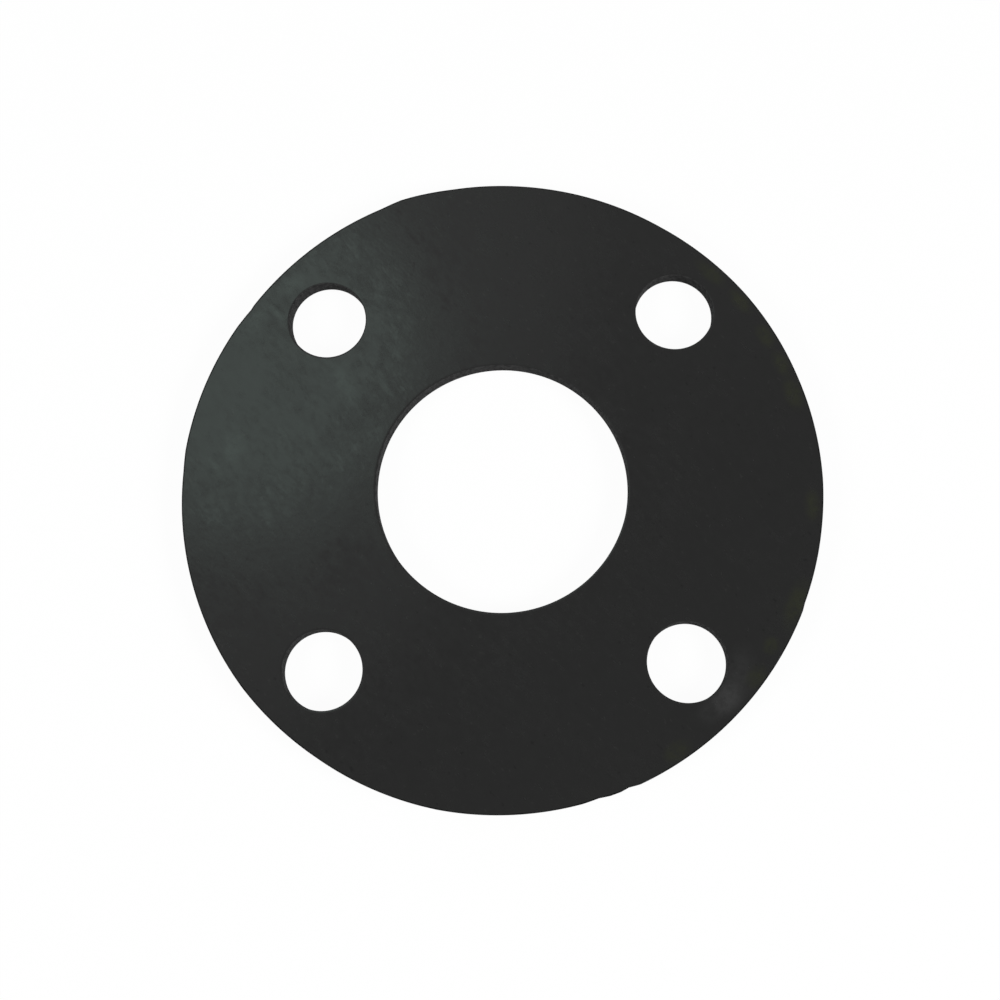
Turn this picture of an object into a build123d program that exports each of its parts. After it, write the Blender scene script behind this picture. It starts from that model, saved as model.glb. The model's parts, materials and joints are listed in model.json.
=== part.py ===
from build123d import *
import os
from math import cos, radians, sin

# Full-face flange gasket: one flat ring of solid rubber, cut by hand from calendered sheet.
# It lies between two pipe flanges, reaches out past their bolts, and is drilled to their pattern.
# The origin is the centre of the bore on the lower face, and +Z points up through the sheet.

# Driving dimensions, in mm
sheet_thickness = 4.5  # sold as 3/16 inch sheet, and a little thin, as calendered sheet often is
outer_diameter = 153.0
bore_diameter = 60.3
bolt_circle_diameter = 120.65
bolt_hole_diameter = 18.8  # from a 19 mm punch: the rubber springs back a little
first_bolt_angle = 45.0  # degrees from +X, so the holes straddle both centre lines

# A wad punch drags the rubber down with it, which rounds the edge where it went in.
punch_roll_over = 0.2

# How far from its mark the punch landed at each bolt hole, to +X and to +Y in mm, counted
# anticlockwise from first_bolt_angle. The play of the bolts takes it up.
punch_slips = [(0.15, 0.05), (0.65, 0.0), (0.0, -0.15), (-0.2, 0.15)]

# The rim was cut with a knife along a scribed circle, one stroke after another.
# Each pair is the end of a stroke: its angle from +X in degrees, and how far the knife was
# outside (+) or inside (-) the circle there, in mm.
stroke_ends = [
    (0, -0.10),
    (20, -0.20),
    (38, -0.05),
    (58, -0.25),
    (84, 0.05),
    (98, 0.25),
    (105, 0.65),
    (108, 0.75),  # the cut began and closed here, which left a corner standing proud
    (112, 0.35),
    (142, -0.20),
    (143, -0.35),  # the knife ran inside the line and was brought back
    (147, -0.10),
    (172, 0.35),
    (176, 0.15),
    (217, 0.50),
    (235, 0.20),
    (258, 0.30),
    (274, 0.00),
    (283, -0.15),
    (286, -0.40),  # a stroke that dug in, stopped, and was taken up again further out
    (288, -0.10),
    (290, -0.10),
    (291.5, -0.35),  # a nick from the tip of the knife
    (293.5, 0.05),
    (336, -0.05),
    (337.5, -0.25),
    (352, -0.20),
]


def rim_point(angle, wander):
    """The point on the rim at this angle, where the knife is this far off the scribed circle."""
    radius = outer_diameter / 2 + wander
    return (radius * cos(radians(angle)), radius * sin(radians(angle)))


def rim_stroke(start, end):
    """One stroke: the arc from start to end whose middle wanders by the mean of its two ends."""
    middle = ((start[0] + end[0]) / 2, (start[1] + end[1]) / 2)
    return ThreePointArc(rim_point(*start), rim_point(*middle), rim_point(*end))


def cut_blank():
    """The disc that the knife cuts out of the sheet, with its strokes joined end to end."""
    first_angle, first_wander = stroke_ends[0]
    closed_ends = stroke_ends + [(first_angle + 360, first_wander)]
    strokes = [rim_stroke(start, end) for start, end in zip(closed_ends, closed_ends[1:])]
    return extrude(make_face(Wire(strokes)), amount=sheet_thickness)


def punch_at(x, y, diameter):
    """The round slug that a punch of this diameter takes out of the sheet."""
    return Pos(x, y, sheet_thickness / 2) * Cylinder(diameter / 2, 2 * sheet_thickness)


def bolt_punches():
    """One slug for each bolt, marked out evenly on the bolt circle and punched where it landed."""
    slugs = []
    for number, (slip_x, slip_y) in enumerate(punch_slips):
        angle = radians(first_bolt_angle + number * 360 / len(punch_slips))
        x = bolt_circle_diameter / 2 * cos(angle) + slip_x
        y = bolt_circle_diameter / 2 * sin(angle) + slip_y
        slugs.append(punch_at(x, y, bolt_hole_diameter))
    return slugs


def flange_gasket():
    """The blank with its bore and bolt holes punched from above, and their entry edges rounded."""
    ring = cut_blank() - punch_at(0, 0, bore_diameter) - bolt_punches()
    entry_edges = ring.edges().group_by(Axis.Z)[-1].filter_by(GeomType.CIRCLE)
    punched_edges = [edge for edge in entry_edges if edge.is_closed]
    return fillet(punched_edges, punch_roll_over)


gasket = flange_gasket()
os.makedirs("parts", exist_ok=True)
export_step(gasket, "parts/flange_gasket.step")

print(f"volume {gasket.volume:.1f} mm3, solids {len(gasket.solids())}, valid {gasket.is_valid}")
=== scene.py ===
import json
from math import radians

import bmesh
import bpy
import numpy as np
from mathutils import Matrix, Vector


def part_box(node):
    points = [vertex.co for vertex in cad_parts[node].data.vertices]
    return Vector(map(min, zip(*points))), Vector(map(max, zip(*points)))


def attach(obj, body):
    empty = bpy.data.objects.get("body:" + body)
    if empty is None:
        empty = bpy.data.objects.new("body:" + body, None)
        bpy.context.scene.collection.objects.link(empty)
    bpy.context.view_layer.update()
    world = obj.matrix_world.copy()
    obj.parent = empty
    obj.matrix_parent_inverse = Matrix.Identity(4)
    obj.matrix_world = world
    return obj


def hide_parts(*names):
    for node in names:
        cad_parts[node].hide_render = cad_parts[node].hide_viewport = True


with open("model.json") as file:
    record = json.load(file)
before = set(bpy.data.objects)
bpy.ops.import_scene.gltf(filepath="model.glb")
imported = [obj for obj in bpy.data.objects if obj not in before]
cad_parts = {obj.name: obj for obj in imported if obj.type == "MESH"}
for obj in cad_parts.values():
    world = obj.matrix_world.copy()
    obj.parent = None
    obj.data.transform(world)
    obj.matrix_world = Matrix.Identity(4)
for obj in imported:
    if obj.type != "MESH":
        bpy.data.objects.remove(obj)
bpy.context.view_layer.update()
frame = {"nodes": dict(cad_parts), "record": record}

# ---------------------------------------------------------------------------------------------
# Flange gasket: one flat ring of solid black rubber, which is clamped between two pipe flanges.
# It is cut by hand from calendered sheet: a knife follows a scribed circle for the rim, and wad
# punches driven in from above make the bore and the four bolt holes.
# ---------------------------------------------------------------------------------------------

MM = 0.001
NODE = "flange_gasket"
sizes = {mount["name"]: mount["dims"] for mount in frame["record"]["mounts"]}
bore_radius = sizes["flow_bore"]["r_mm"] * MM
bolt_circle_radius = sizes["bolt_holes"]["pcd_mm"] * MM / 2
bolt_hole_radius = sizes["bolt_holes"]["hole_r_mm"] * MM
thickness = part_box(NODE)[1].z

# A quarter of the ring surrounds each bolt hole, and is one patch of the grid. The grid's steps are counted
# along a quarter's rim, along a spoke, along its bore, and across from its bolt hole out to them. Its rows
# on a wall are those between the two edges.
QUARTERS = range(sizes["bolt_holes"]["count"])
QUARTER_TURN = 2 * np.pi / len(QUARTERS)
RIM_STEPS = 180
SPOKE_STEPS = 30
BORE_STEPS = 90
ACROSS_STEPS = 12
WALL_ROWS = 12

# A punch drags the skin of the sheet down round its hole on the way in, and breaks out cleanly below.
# The knife leaves both edges almost sharp. The face stays flat for a margin before each edge.
DRAG_WIDTH = 0.6 * MM
DRAG_DEPTH = 0.15 * MM
EXIT_ROUND = 0.12 * MM
KNIFE_ROUND = 0.12 * MM
FLAT_MARGIN = 0.2 * MM

# How far towards +X each wall has moved by the time it reaches the lower face, where the punch leaned.
BORE_LEAN = 0.08 * MM
BOLT_HOLE_LEANS = [0.05 * MM, 0.25 * MM, 0, 0]

# The corners of the solid's lower face say where the knife and the bolt hole punches really went. Those
# within hole_reach of a bolt's place are its hole's, and those beyond every bolt hole are the rim's.
LOWER_FACE_TOLERANCE = 0.01 * MM
hole_reach = 1.2 * bolt_hole_radius
cad_mesh = frame["nodes"][NODE].data
cad_corners = np.empty(len(cad_mesh.vertices) * 3)
cad_mesh.vertices.foreach_get("co", cad_corners)
cad_corners = cad_corners.reshape(-1, 3)
lower_corners = cad_corners[cad_corners[:, 2] < LOWER_FACE_TOLERANCE, :2]
corner_angle = np.arctan2(lower_corners[:, 1], lower_corners[:, 0])
corner_radius = np.hypot(*lower_corners.T)
on_rim = corner_radius > bolt_circle_radius + hole_reach


def direction(angle):
    """Unit vectors at an angle from +X, as rows of x, y."""
    return np.stack([np.cos(angle), np.sin(angle)], axis=-1)


def rim_radius(angle):
    """The knife's distance from the bore's axis at an angle: the solid's rim in polar form, with its
    corners joined by straight lines in angle and radius."""
    order = np.argsort(corner_angle[on_rim])
    known_angle = corner_angle[on_rim][order]
    known_radius = corner_radius[on_rim][order]
    return np.interp(angle, known_angle, known_radius, period=2 * np.pi)


def bolt_hole_centre(quarter):
    """The middle of the hole punched in a quarter: halfway between the extremes of the solid's corners
    that lie round the bolt's place on the bolt circle."""
    nominal = bolt_circle_radius * direction((quarter + 0.5) * QUARTER_TURN)
    around = np.hypot(*(lower_corners - nominal).T) < hole_reach
    return (lower_corners[around].min(0) + lower_corners[around].max(0)) / 2


def calender_waves(xy):
    """How far the rolls left the sheet below its full thickness: three long sine waves that cross at
    different angles, added up and kept between nothing and the waves' depth."""
    depth = 0.05 * MM
    lengths = (61 * MM, 38 * MM, 27 * MM)
    headings = (0.7, 2.1, -0.5)
    starts = (0.4, 1.9, 4.0)
    waves = sum(
        np.sin(2 * np.pi * (xy @ direction(heading)) / length + start)
        for length, heading, start in zip(lengths, headings, starts)
    )
    return depth * (len(lengths) - waves) / (2 * len(lengths))


def upper_height(xy):
    """The upper face: the full thickness less the calender's waves."""
    return thickness - calender_waves(xy)


def lower_height(xy):
    """The lower face: it stands on the crests of the same waves, half as deep and moved along the sheet."""
    offset = 20 * MM
    return calender_waves(xy + offset) / 2


def rounded_edge(width, depth, steps):
    """A quarter of an ellipse from the face to the wall, as insets into the rubber and depths below
    the face. A flat margin comes before it, so that the face stays flat up to the edge."""
    turn = np.linspace(0, np.pi / 2, steps + 1)
    inset = np.append(width + FLAT_MARGIN, width * (1 - np.sin(turn)))
    return inset, np.append(0, depth * (1 - np.cos(turn)))


def edge_strip(centre, radius, rays, side, upper_edge, lower_edge, wall_marks, lean):
    """A cut edge carried round a closed line: from the upper face round its edge, down the wall, and
    round to the lower face. Each point lies on a ray from the centre, at the line's radius plus side
    times its inset: side is +1 where the rubber lies beyond the line, and -1 where it lies within.
    wall_marks(share down the wall, angle round the line) are further insets into the rubber, and
    lean is how far towards +X the wall moves on its way down."""
    upper_inset, upper_depth = upper_edge
    lower_inset, lower_depth = lower_edge
    share = np.linspace(0, 1, WALL_ROWS + 2)[1:-1]
    down = np.concatenate([np.zeros(len(upper_inset)), share, np.ones(len(lower_inset))])
    inset = np.concatenate([upper_inset, np.zeros(WALL_ROWS), lower_inset[::-1]])
    angle = np.arctan2(rays[:, 1], rays[:, 0])
    inset = inset[:, None] + wall_marks(down[:, None], angle[None, :])
    flat = centre + (radius + side * inset)[..., None] * rays
    flat[..., 0] += lean * down[:, None]
    top = upper_height(flat) - upper_depth[-1]
    bottom = lower_height(flat) + lower_depth[-1]
    height = top + (bottom - top) * down[:, None]
    height[: len(upper_inset)] += upper_depth[-1] - upper_depth[:, None]
    height[-len(lower_inset):] -= lower_depth[-1] - lower_depth[::-1, None]
    return np.dstack([flat, height])


def punch_marks(down, angle):
    """A punched wall bows into the rubber by half a sine wave down its height, and carries upright
    scores: four sine waves round the hole, strongest halfway down."""
    bow = 0.05 * MM
    score = 0.008 * MM
    waves_round = (23, 37, 52, 61)
    scores = sum(np.sin(waves * angle + waves) + 1 for waves in waves_round)
    return (bow + score * scores) * np.sin(np.pi * down)


def knife_marks(down, angle):
    """A knife-cut wall leans in towards its lower edge, and carries level drag lines: two sine waves
    down its height that wander slowly round the rim. It starts a hair inside the knife's line."""
    hair = 0.01 * MM
    lean = 0.10 * MM
    drag = 0.012 * MM
    wander = 0.6 * np.sin(3 * angle) + 0.4 * np.sin(7 * angle + 1)
    broad_lines = np.sin(2 * np.pi * (1.5 * down + wander)) + 1
    narrow_lines = np.sin(2 * np.pi * (3 * down - 2 * wander)) + 1
    return hair + lean * down + drag * (broad_lines + narrow_lines) * np.sin(np.pi * down)


def quarter_outline(quarter, row):
    """The closed edge of one quarter, in plan: along a row of the rim's strip, in along a spoke, back
    along the same row of the bore's strip, and out along the other spoke."""
    rim_columns = np.arange(quarter * RIM_STEPS, (quarter + 1) * RIM_STEPS + 1)
    bore_columns = np.arange((quarter + 1) * BORE_STEPS, quarter * BORE_STEPS - 1, -1)
    rim = rim_strip[row, :, :2].take(rim_columns, 0, mode="wrap")
    bore = bore_strip[row, :, :2].take(bore_columns, 0, mode="wrap")
    share = np.arange(SPOKE_STEPS)[:, None] / SPOKE_STEPS
    return np.concatenate([
        rim[:-1],
        rim[-1] + (bore[0] - rim[-1]) * share,
        bore[:-1],
        bore[-1] + (rim[0] - bore[-1]) * share,
    ])


def face_patch(quarter, row, height):
    """A face of one quarter: straight lines from the bolt hole's edge out to the quarter's outline, in
    steps that widen as a power of the way out, and lifted to the face's height."""
    widening = 1.4
    hole = hole_strips[quarter][row, :, :2]
    share = (np.arange(ACROSS_STEPS + 1) / ACROSS_STEPS) ** widening
    flat = hole + (quarter_outline(quarter, row) - hole) * share[:, None, None]
    return np.dstack([flat, height(flat)])


def grid_faces(rows, columns, first):
    """The four-cornered faces between neighbouring rows and columns of a grid whose corners are
    numbered row by row from first. The last column joins the first."""
    row, column = (index.ravel() for index in np.mgrid[: rows - 1, :columns])
    following = (column + 1) % columns
    near = first + row * columns
    far = near + columns
    return np.stack([near + column, far + column, far + following, near + following], axis=-1)


# The cut edges come first, because the faces are stretched between their outermost rows.
entry_edge = rounded_edge(DRAG_WIDTH, DRAG_DEPTH, steps=6)
exit_edge = rounded_edge(EXIT_ROUND, EXIT_ROUND, steps=4)
knifed_edge = rounded_edge(KNIFE_ROUND, KNIFE_ROUND, steps=4)
bore_centre = np.zeros(2)
rim_angles = np.arange(len(QUARTERS) * RIM_STEPS) * QUARTER_TURN / RIM_STEPS
rim_strip = edge_strip(
    bore_centre, rim_radius(rim_angles), direction(rim_angles), side=-1,
    upper_edge=knifed_edge, lower_edge=knifed_edge, wall_marks=knife_marks, lean=0,
)
bore_angles = np.arange(len(QUARTERS) * BORE_STEPS) * QUARTER_TURN / BORE_STEPS
bore_strip = edge_strip(
    bore_centre, bore_radius, direction(bore_angles), side=1,
    upper_edge=entry_edge, lower_edge=exit_edge, wall_marks=punch_marks, lean=BORE_LEAN,
)
hole_strips = []
for quarter in QUARTERS:
    centre = bolt_hole_centre(quarter)
    rays = quarter_outline(quarter, 0) - centre
    rays /= np.hypot(*rays.T)[:, None]
    hole_strips.append(edge_strip(
        centre, bolt_hole_radius, rays, side=1, upper_edge=entry_edge, lower_edge=exit_edge,
        wall_marks=punch_marks, lean=BOLT_HOLE_LEANS[quarter],
    ))
faces = [face_patch(quarter, 0, upper_height) for quarter in QUARTERS]
faces += [face_patch(quarter, -1, lower_height) for quarter in QUARTERS]

# The skin turns down with a punched edge until its last steps, which are torn like the wall. Beside the
# knife's cut, the face's flat margin and rounded edge take the knifed wall's dark finish, which paints a
# shaded line along the rim.
SKIN, PUNCHED, KNIFED_AND_EDGE_SHADE = range(3)
TORN_STEPS = 3
edge_steps = len(entry_edge[0]) - 1
punched_from = edge_steps - TORN_STEPS
points = []
corners = []
finishes = []
for patch, wall_finish, first_wall_row in (
    [(face, SKIN, 0) for face in faces]
    + [(strip, PUNCHED, punched_from) for strip in [bore_strip] + hole_strips]
    + [(rim_strip, KNIFED_AND_EDGE_SHADE, 0)]
):
    rows, columns = patch.shape[:2]
    row_finish = np.full(rows - 1, SKIN)
    row_finish[first_wall_row:-1] = wall_finish
    corners.append(grid_faces(rows, columns, sum(len(done) for done in points)))
    points.append(patch.reshape(-1, 3))
    finishes.append(np.repeat(row_finish, columns))

# The patches and strips meet in the same points, and are welded there into one closed skin.
WELD = 0.0001 * MM
mesh = bpy.data.meshes.new("rubber_ring")
mesh.from_pydata(np.concatenate(points), [], np.concatenate(corners))
mesh.polygons.foreach_set("material_index", np.concatenate(finishes).astype(np.int32))
welded = bmesh.new()
welded.from_mesh(mesh)
bmesh.ops.remove_doubles(welded, verts=welded.verts, dist=WELD)
bmesh.ops.recalc_face_normals(welded, faces=welded.faces)
welded.to_mesh(mesh)
welded.free()
mesh.shade_smooth()
ring = bpy.data.objects.new("rubber_ring", mesh)
bpy.context.scene.collection.objects.link(ring)


def shader(tree, kind, links=(), **settings):
    """Adds a node of a kind to a tree of shader nodes. Its settings are its own properties, and each link
    is an input's name or number with the plain value or the other node's output that it takes."""
    node = tree.nodes.new("ShaderNode" + kind)
    for name, value in settings.items():
        setattr(node, name, value)
    for socket, value in links:
        if isinstance(value, bpy.types.NodeSocket):
            tree.links.new(value, node.inputs[socket])
        else:
            node.inputs[socket].default_value = value
    return node


def new_material(name):
    """An empty node material: itself, its tree, and its Principled shader already joined to the output."""
    material = bpy.data.materials.new(name)
    material.use_nodes = True
    return material, material.node_tree, material.node_tree.nodes["Principled BSDF"]


def noise(tree, place, scale, detail, roughness=0.5):
    """Noise of a scale, in features per metre, over a place vector. Gives its value socket."""
    settings = [("Vector", place), ("Scale", scale), ("Detail", detail), ("Roughness", roughness)]
    return shader(tree, "TexNoise", settings).outputs["Fac"]


def remap(tree, value, from_min, from_max, to_min, to_max):
    """A smooth step of a value from one range to another. Gives its result socket."""
    settings = [("Value", value), ("From Min", from_min), ("From Max", from_max),
                ("To Min", to_min), ("To Max", to_max)]
    return shader(tree, "MapRange", settings, interpolation_type="SMOOTHSTEP").outputs["Result"]


def calculate(tree, operation, first, second):
    """The sum, product or other operation of two values. Gives its result socket."""
    return shader(tree, "Math", [(0, first), (1, second)], operation=operation).outputs[0]


def blend(tree, share, first, second):
    """Two colours mixed: the first where the share is 0, and the second where it is 1. Gives the colour
    socket. The colour inputs of this node are numbers 6 and 7, and its colour output is number 2."""
    return shader(tree, "Mix", [("Factor", share), (6, first), (7, second)], data_type="RGBA").outputs[2]


def grey(level):
    """A neutral colour: the same level of red, green and blue, and opaque."""
    return (level, level, level, 1)


def bumps(tree, surface, height):
    """Turns a height in metres into the shader's normal."""
    bump = shader(tree, "Bump", [("Strength", 1), ("Distance", 1), ("Height", height)])
    tree.links.new(bump.outputs["Normal"], surface.inputs["Normal"])


def stretched(tree, place, turn, stretch):
    """The place turned back about Z by an angle in degrees and then divided by a stretch along each axis,
    so that a pattern on it is drawn out along that angle."""
    settings = [("Vector", place), ("Rotation", (0, 0, radians(turn))), ("Scale", stretch)]
    return shader(tree, "Mapping", settings, vector_type="TEXTURE").outputs["Vector"]


def soft_mark(tree, place, x, y, turn, length, width):
    """A soft-edged elliptical mark on the upper face, in mm and degrees: 1 from its middle out to a fifth
    of the way to its edge, and from there a smooth step down to 0. It doesn't reach the lower face."""
    depth = 1.0
    full_to = 0.2
    settings = [
        ("Vector", place),
        ("Location", (x * MM, y * MM, thickness)),
        ("Rotation", (0, 0, radians(turn))),
        ("Scale", (length * MM / 2, width * MM / 2, depth * MM)),
    ]
    local = shader(tree, "Mapping", settings, vector_type="TEXTURE").outputs["Vector"]
    reach = shader(tree, "VectorMath", [(0, local)], operation="LENGTH").outputs["Value"]
    return remap(tree, reach, full_to, 1.0, 1, 0)


# Skin: smooth from the rolls, with a fine grain, streaks, a mottle and small dull or glossy dabs, all drawn
# out a little along the way the sheet ran, which is an angle from +X in degrees. Slow cloudy patches lie
# under them, and here and there is a pale or dark fleck.
DRAWN = -50
GRAIN_HEIGHT = 0.010 * MM
PATCH_HEIGHT = 0.10 * MM
skin, tree, surface = new_material("calendered_skin")
place = shader(tree, "TexCoord").outputs["Object"]
grain = noise(tree, stretched(tree, place, DRAWN, (2.5, 1, 1)), scale=1500, detail=2)
streaks = noise(tree, stretched(tree, place, DRAWN, (2.4, 1, 1)), scale=480, detail=3, roughness=0.6)
mottle = noise(tree, stretched(tree, place, DRAWN, (1.7, 1, 1)), scale=620, detail=4, roughness=0.65)
dabs = noise(tree, stretched(tree, place, DRAWN, (1.6, 1, 1)), scale=760, detail=1)
flecks = noise(tree, stretched(tree, place, DRAWN, (1.6, 1, 1)), scale=1000, detail=1)
patches = noise(tree, place, scale=80, detail=4, roughness=0.55)

raised_grain = calculate(tree, "MULTIPLY", grain, GRAIN_HEIGHT)
raised_patches = calculate(tree, "MULTIPLY", patches, PATCH_HEIGHT)
bumps(tree, surface, calculate(tree, "ADD", raised_grain, raised_patches))

# The streaks, the mottle and the strongest dabs make the patches a little glossier or duller.
dullness = remap(tree, patches, 0.3, 0.7, 0.15, 0.25)
for texture, glossiest, dullest in ((streaks, -0.03, 0.03), (mottle, -0.05, 0.06)):
    dullness = calculate(tree, "ADD", dullness, remap(tree, texture, 0.3, 0.7, glossiest, dullest))
for dab_from, dab_to, change in ((0.62, 0.74, 0.06), (0.40, 0.28, -0.08)):
    dullness = calculate(tree, "ADD", dullness, remap(tree, dabs, dab_from, dab_to, 0, change))
tree.links.new(dullness, surface.inputs["Roughness"])

rubber_black = (0.0206, 0.0206, 0.0204, 1)
mottled_black = (0.0211, 0.0211, 0.0209, 1)
pale_fleck = (0.032, 0.032, 0.031, 1)
dark_fleck = grey(0.012)
colour = blend(tree, remap(tree, mottle, 0.3, 0.7, 0, 1), rubber_black, mottled_black)
colour = blend(tree, remap(tree, flecks, 0.70, 0.80, 0, 0.5), colour, pale_fleck)
colour = blend(tree, remap(tree, flecks, 0.30, 0.20, 0, 0.5), colour, dark_fleck)

# Pale marks are drawn over it. Beside one bolt hole a scuff in a haze is partly painted sheen along that
# hole's lower right edge; pale green-grey patches on the other side of the bore are painted highlights of
# the sheen; and olive-tinted marks lie along the rim. Each mark is x, y, turn, length and width, in mm and
# degrees.
haze_and_painted_sheen = [(54, -46.5, 75, 21, 10), (48.8, -53, 35, 15, 8)]
scuff_and_painted_sheen = [(51.2, -50.9, 55, 10, 8)]
# Pale green-grey patches on the far left are painted highlights in the sheen, tinted like the sheen lamp.
painted_sheen_patches = [
    (-64.5, 11.5, 80, 13, 8), (-38, 26.5, -55, 17, 6), (-28, 25.5, -50, 11, 2), (-54.5, 45, -45, 10, 2.5),
    (-68.5, 6.5, -50, 8, 2), (-52, 13.5, -60, 7, 1.6), (-51, 52, 30, 12, 6), (-59.5, 43, 60, 9, 5),
]
# Olive-tinted pale marks along the rim.
olive_rim_marks = [
    (68.5, -29.5, 68, 16, 7), (62, -39, 60, 6, 5), (58.2, -46.2, 50, 8, 6), (39.3, -62.8, 32, 9, 6),
    (73.5, -6, 90, 10, 5), (70.5, 21.5, 107, 11, 6), (68, 29, 113, 9, 5), (64.5, 36, 119, 9, 5),
    (59, 45, 128, 10, 5), (52, 52.5, 135, 12, 5),
]
painted_sheen_green = (0.036, 0.042, 0.039, 1)
olive_tint = (0.027, 0.029, 0.019, 1)
mark_breakup = remap(tree, noise(tree, place, scale=600, detail=3, roughness=0.6), 0.3, 0.6, 0.4, 1)
# Each group of marks is blended into the colour in noisy patches. The haze, the scuff and the green-grey
# patches paint sheen.
for marks, mark_colour, strength in (
    (haze_and_painted_sheen, grey(0.033), 0.65),
    (scuff_and_painted_sheen, grey(0.045), 0.8),
    (painted_sheen_patches, painted_sheen_green, 0.6),
    (olive_rim_marks, olive_tint, 0.8),
):
    mark_strength = calculate(tree, "MULTIPLY", mark_breakup, strength)
    for mark in marks:
        share = calculate(tree, "MULTIPLY", soft_mark(tree, place, *mark), mark_strength)
        colour = blend(tree, share, colour, mark_colour)
tree.links.new(colour, surface.inputs["Base Color"])
mesh.materials.append(skin)

# Punched wall: matt and a little greyer than the skin, torn into a short upright nap, with fine upright
# scores from the punch.
SCORE_HEIGHT = 0.03 * MM
NAP_HEIGHT = 0.04 * MM
punched_wall, tree, surface = new_material("punched_wall")
place = shader(tree, "TexCoord").outputs["Object"]
scores = noise(tree, stretched(tree, place, 0, (1, 1, 12)), scale=1800, detail=2)
nap = noise(tree, stretched(tree, place, 0, (1, 1, 2)), scale=1200, detail=3, roughness=0.6)
raised_scores = calculate(tree, "MULTIPLY", scores, SCORE_HEIGHT)
raised_nap = calculate(tree, "MULTIPLY", nap, NAP_HEIGHT)
bumps(tree, surface, calculate(tree, "ADD", raised_scores, raised_nap))
nap_colour = blend(tree, remap(tree, nap, 0.3, 0.7, 0, 1), grey(0.020), grey(0.040))
tree.links.new(nap_colour, surface.inputs["Base Color"])
surface.inputs["Roughness"].default_value = 1.0
surface.inputs["Specular IOR Level"].default_value = 0.05
mesh.materials.append(punched_wall)

# Knifed wall: dark and matt, with drag lines that run round the rim, paler where the knife rubbed.
# Its dark colour is painted shade: it also covers the face's margin beside the cut, as a shaded line along
# the rim's edge.
DRAG_LINE_HEIGHT = 0.03 * MM
knifed_wall_and_edge_shade, tree, surface = new_material("knifed_wall_and_edge_shade")
place = shader(tree, "TexCoord").outputs["Object"]
drag_lines = noise(tree, stretched(tree, place, 0, (12, 12, 1)), scale=2500, detail=2)
rubs = noise(tree, stretched(tree, place, 0, (4, 4, 1)), scale=900, detail=3, roughness=0.6)
bumps(tree, surface, calculate(tree, "MULTIPLY", drag_lines, DRAG_LINE_HEIGHT))
rub_colour = blend(tree, remap(tree, rubs, 0.35, 0.7, 0, 1), grey(0.008), grey(0.018))
tree.links.new(rub_colour, surface.inputs["Base Color"])
surface.inputs["Roughness"].default_value = 0.8
surface.inputs["Specular IOR Level"].default_value = 0.2
mesh.materials.append(knifed_wall_and_edge_shade)

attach(ring, "root")
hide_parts(NODE)

# ---------------------------------------------------------------------------------------------
# Studio: a plain white table that runs out of sight, in a white room with soft lamps. The camera
# looks down on the gasket from a little in front of it.
# ---------------------------------------------------------------------------------------------

scene = bpy.context.scene
scene.view_settings.view_transform = "Standard"

# The table lies a hair below the gasket, so that the two never share a plane.
HALF_TABLE = 3.0
TABLE_DROP = 0.02 * MM
table_corners = [
    (-HALF_TABLE, -HALF_TABLE, -TABLE_DROP),
    (HALF_TABLE, -HALF_TABLE, -TABLE_DROP),
    (HALF_TABLE, HALF_TABLE, -TABLE_DROP),
    (-HALF_TABLE, HALF_TABLE, -TABLE_DROP),
]
table_mesh = bpy.data.meshes.new("table")
table_mesh.from_pydata(table_corners, [], [(0, 1, 2, 3)])
table = bpy.data.objects.new("table", table_mesh)
scene.collection.objects.link(table)


def seen_share(tree):
    """1 for a ray from the camera, a mirror or glass, and 0 for light that only falls on things."""
    path = shader(tree, "LightPath").outputs
    seen = calculate(tree, "MAXIMUM", path["Is Camera Ray"], path["Is Glossy Ray"])
    return calculate(tree, "MAXIMUM", seen, path["Is Transmission Ray"])


# The table is white paper. What sees it directly sees it evenly white, with a trace of the shadows near
# the gasket and none further off, so that it meets the white room without a line.
SHADOWS_FULL_TO = 0.2
SHADOWS_GONE_BY = 1.0
SHADOW_TRACE = 0.04
table_top, tree, paper = new_material("white_table")
paper.inputs["Base Color"].default_value = grey(0.95)
paper.inputs["Roughness"].default_value = 0.9
white = shader(tree, "Emission", [("Strength", 1.0)])
place = shader(tree, "TexCoord").outputs["Object"]
from_gasket = shader(tree, "VectorMath", [(0, place)], operation="LENGTH").outputs["Value"]
evenness = remap(tree, from_gasket, SHADOWS_FULL_TO, SHADOWS_GONE_BY, 1 - SHADOW_TRACE, 1)
seen_even = calculate(tree, "MULTIPLY", seen_share(tree), evenness)
table_surface = shader(tree, "MixShader", [(0, seen_even), (1, paper.outputs[0]), (2, white.outputs[0])])
tree.links.new(table_surface.outputs[0], tree.nodes["Material Output"].inputs["Surface"])
table_mesh.materials.append(table_top)

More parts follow.
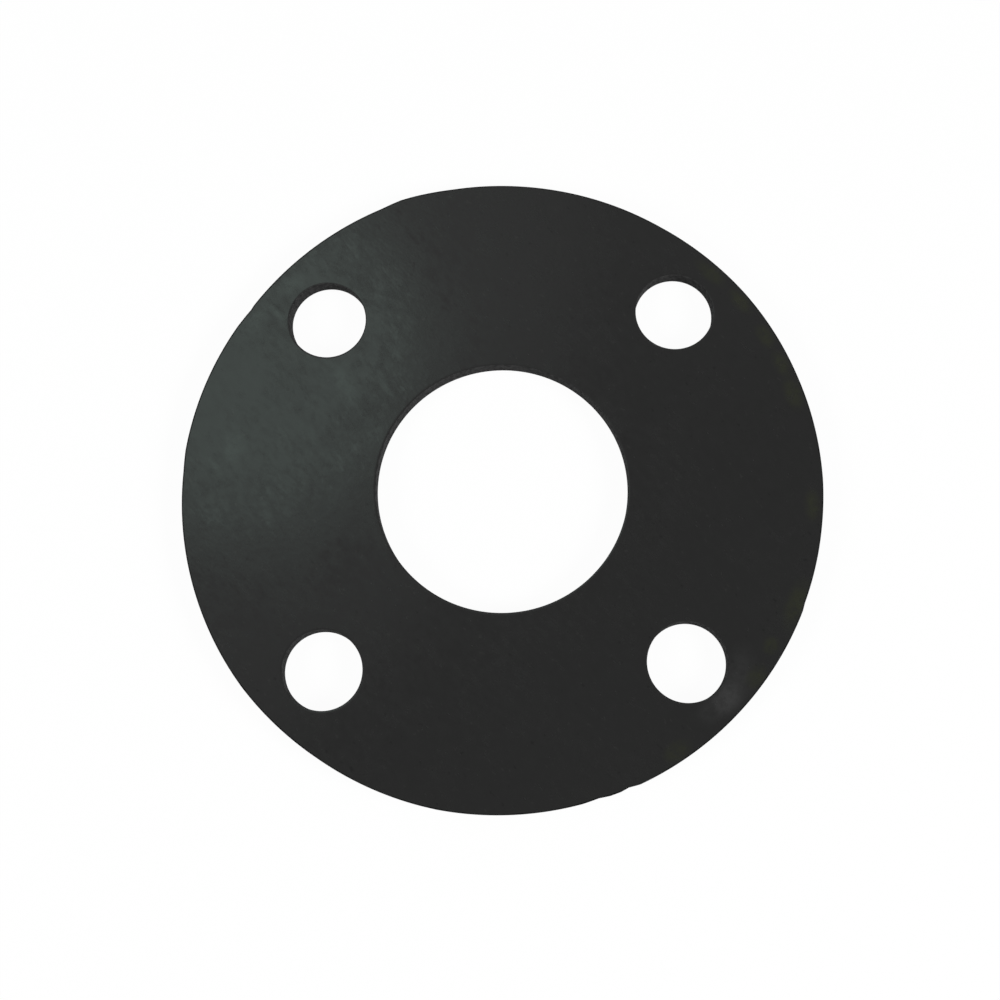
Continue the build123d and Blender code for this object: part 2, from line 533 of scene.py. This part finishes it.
# The room is white to the camera. In the gasket's sheen its walls are white low down, its ceiling is
# dark, and the back of the room is a little brighter than the front. It lights things only weakly.
WHITE_LEVEL = 1.0
CEILING_LEVEL = 0.05
BACK_GLOW = 0.09
LIGHT_LEVEL = 0.15
room = bpy.data.worlds.new("white_room")
room.use_nodes = True
scene.world = room
tree = room.node_tree
heading = shader(tree, "SeparateXYZ", [(0, shader(tree, "TexCoord").outputs["Generated"])]).outputs
walls = remap(tree, heading["Z"], 0.15, 0.55, WHITE_LEVEL, CEILING_LEVEL)
back = remap(tree, heading["Y"], 0.20, 0.40, 0, BACK_GLOW)
mirrored = calculate(tree, "ADD", walls, back)
by_share = [("Value", seen_share(tree)), ("To Min", LIGHT_LEVEL), ("To Max", mirrored)]
lit_or_mirrored = shader(tree, "MapRange", by_share).outputs["Result"]
camera_ray = shader(tree, "LightPath").outputs["Is Camera Ray"]
background = tree.nodes["Background"]
background.inputs["Color"].default_value = grey(WHITE_LEVEL)
tree.links.new(calculate(tree, "MAXIMUM", lit_or_mirrored, camera_ray), background.inputs["Strength"])


def round_lamp(name, place, diameter, power, colour, mirrored):
    """A round soft box at a place, turned to face the middle of the table. Only a mirrored lamp shows in
    the gasket's sheen."""
    light = bpy.data.lights.new(name, "AREA")
    light.shape = "DISK"
    light.size = diameter
    light.energy = power
    light.color = colour
    lamp = bpy.data.objects.new(name, light)
    lamp.location = place
    lamp.rotation_euler = Vector(place).to_track_quat("Z", "Y").to_euler()
    lamp.visible_camera = False
    lamp.visible_glossy = mirrored
    scene.collection.objects.link(lamp)
    return lamp


# Two neutral lamps light the rubber. A third hangs level above its far left, with a wide faint halo, and
# is what the skin mirrors as a soft green-grey sheen.
WHITE = (1, 1, 1)
round_lamp("right_lamp", (1.15, -0.41, 0.73), diameter=0.6, power=19.6, colour=WHITE, mirrored=False)
round_lamp("left_lamp", (-1.12, -0.45, 0.75), diameter=0.6, power=12, colour=WHITE, mirrored=False)
sheen_lamp = round_lamp("sheen_lamp", (-0.143, 0.145, 0.350), diameter=0.194, power=0.080,
                        colour=(0.74, 1.0, 0.89), mirrored=True)
sheen_halo = round_lamp("sheen_halo", (-0.226, 0.196, 0.360), diameter=0.516, power=0.098,
                        colour=(0.98, 1.0, 0.99), mirrored=True)
for lamp in (sheen_lamp, sheen_halo):
    lamp.rotation_euler = (0, 0, 0)

camera_data = bpy.data.cameras.new("camera")
camera_data.sensor_width = 36
camera_data.lens = 52.48
camera = bpy.data.objects.new("camera", camera_data)
camera.location = (0.00617, -0.07154, 0.34478)
camera.rotation_euler = (radians(11.34), radians(1.31), radians(-0.96))
scene.collection.objects.link(camera)
scene.camera = camera
